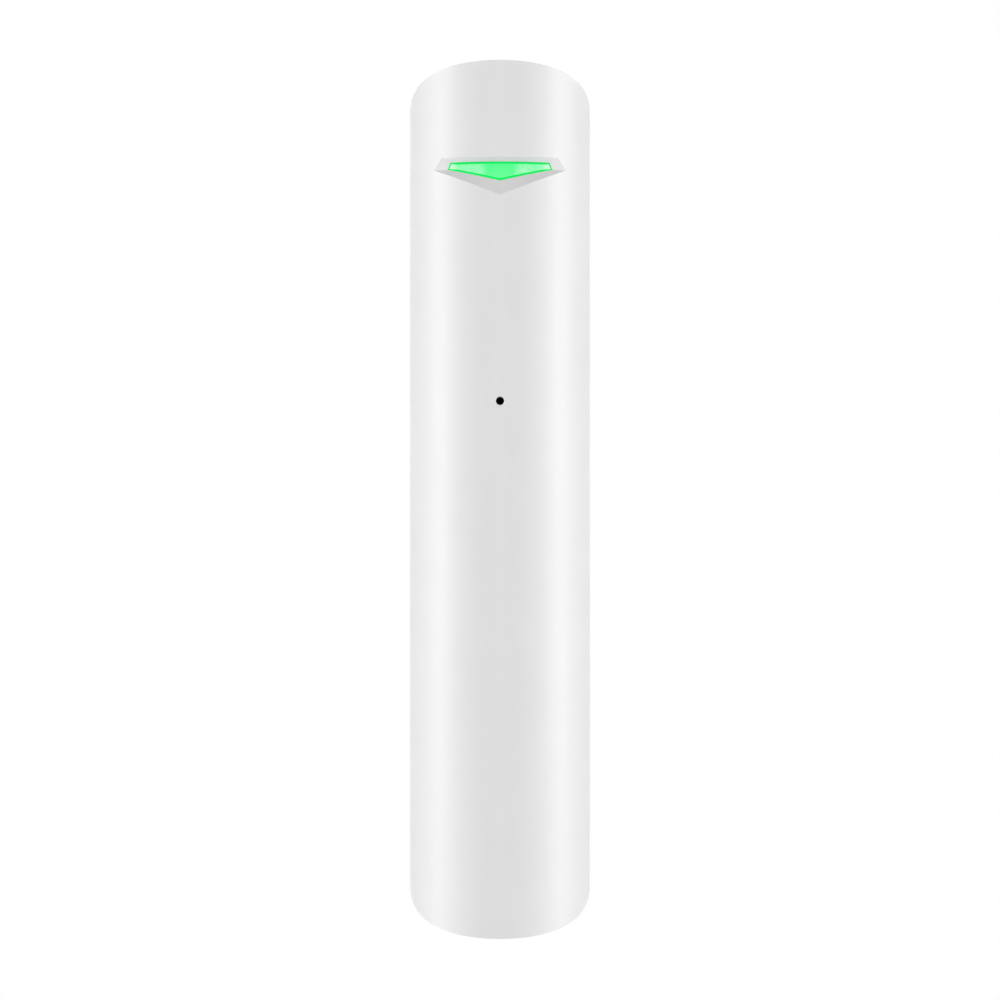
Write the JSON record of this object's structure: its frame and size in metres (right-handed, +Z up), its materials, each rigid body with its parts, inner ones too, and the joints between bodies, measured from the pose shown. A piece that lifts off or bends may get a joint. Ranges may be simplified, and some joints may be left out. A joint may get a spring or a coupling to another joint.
{
  "type": "glass break sensor",
  "caption": "Slim half-round wireless glass break sensor with bowed ends, a bevelled status window, a sound port and a slide-off wall bracket.",
  "frame": {"origin": "middle of the wall bracket's back face, on the wall", "axes": "+X right seen from the room, +Z up along the sensor, +Y into the wall; the front looks along -Y"},
  "size_m": [0.0194, 0.0206, 0.0926],
  "materials": {
    "shell": "fine matte texture",
    "bracket": "fine matte texture",
    "light_pipe": "clear tinted, polished face",
    "lamp": "clear lens on a white base",
    "mesh": "fine woven",
    "rubber": "matt",
    "steel": "satin",
    "aluminium": "satin",
    "plated": "bright plating",
    "board": "solder mask",
    "black_plastic": "moulded",
    "ceramic": "fired ceramic",
    "cell_jacket": "printed sleeve, bare of words",
    "grey_key": "moulded"
  },
  "bodies": {
    "bracket": {"bracket_plate": "bracket"},
    "sensor": {"front_cover": "shell", "rear_cover": "shell", "light_guide": "light_pipe", "indicator_led": "lamp", "acoustic_mesh": "mesh", "microphone_boot": "rubber", "microphone_capsule": "aluminium", "microphone_leads": "plated", "circuit_board": "board", "board_screws": "steel", "radio_shield": "steel", "microcontroller": "black_plastic", "amplifier_chip": "black_plastic", "crystal": "steel", "chip_capacitors": "ceramic", "storage_capacitor": "aluminium", "antenna": "plated", "battery": "cell_jacket", "contact_positive": "plated", "contact_negative": "plated", "holder_upper": "black_plastic", "holder_lower": "black_plastic", "tamper_housing": "black_plastic", "tamper_spring": "steel", "enrol_switch": "black_plastic"},
    "tamper": {"tamper_plunger": "shell"},
    "enrol": {"enrol_key": "grey_key"}
  },
  "joints": [
    {"name": "sensor_lift", "type": "slide", "parent": "bracket", "child": "sensor", "axis": [0, 0, 1], "range_m": [0, 0.004]},
    {"name": "tamper_press", "type": "slide", "parent": "sensor", "child": "tamper", "axis": [0, -1, 0], "range_m": [0, 0.0006], "stiffness_N_per_m": 300, "springref_m": -0.001, "deforming": ["tamper_spring"]},
    {"name": "enrol_press", "type": "slide", "parent": "sensor", "child": "enrol", "axis": [0, -1, 0], "range_m": [0, 0.0003], "stiffness_N_per_m": 2000, "springref_m": -0.0002}
  ]
}
